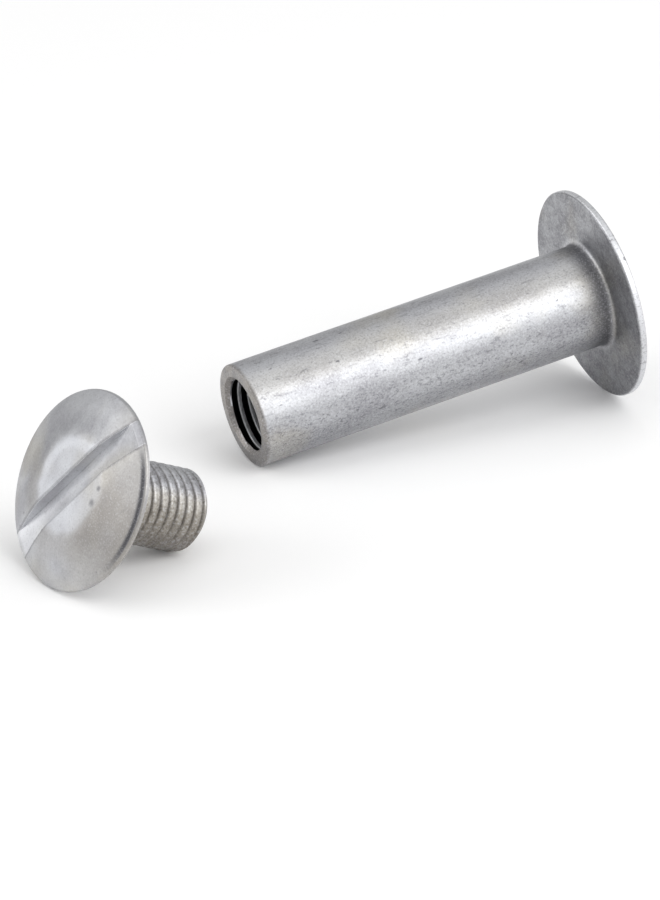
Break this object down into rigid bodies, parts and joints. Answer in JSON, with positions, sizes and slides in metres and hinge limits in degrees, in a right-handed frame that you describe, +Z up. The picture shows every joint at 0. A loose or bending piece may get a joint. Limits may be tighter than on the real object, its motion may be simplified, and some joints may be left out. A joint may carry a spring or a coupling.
{
  "type": "binding barrel screw",
  "caption": "Aluminium binding post taken apart: a plain barrel with a thin domed head and a threaded bore, and its slotted, domed-head screw.",
  "frame": {"origin": "on the table, under the middle of the box round both pieces", "axes": "+X along the barrel in plan, from its mouth to its head; +Z up from the table; the screw lies on the -X, -Y side"},
  "size_m": [0.0422, 0.0222, 0.0129],
  "materials": {
    "barrel_metal": "tumbled, satin, with fine pits along its length",
    "screw_metal": "tumbled, satin, duller in the thread"
  },
  "bodies": {
    "root": {"barrel": "barrel_metal", "screw": "screw_metal"}
  },
  "joints": []
}
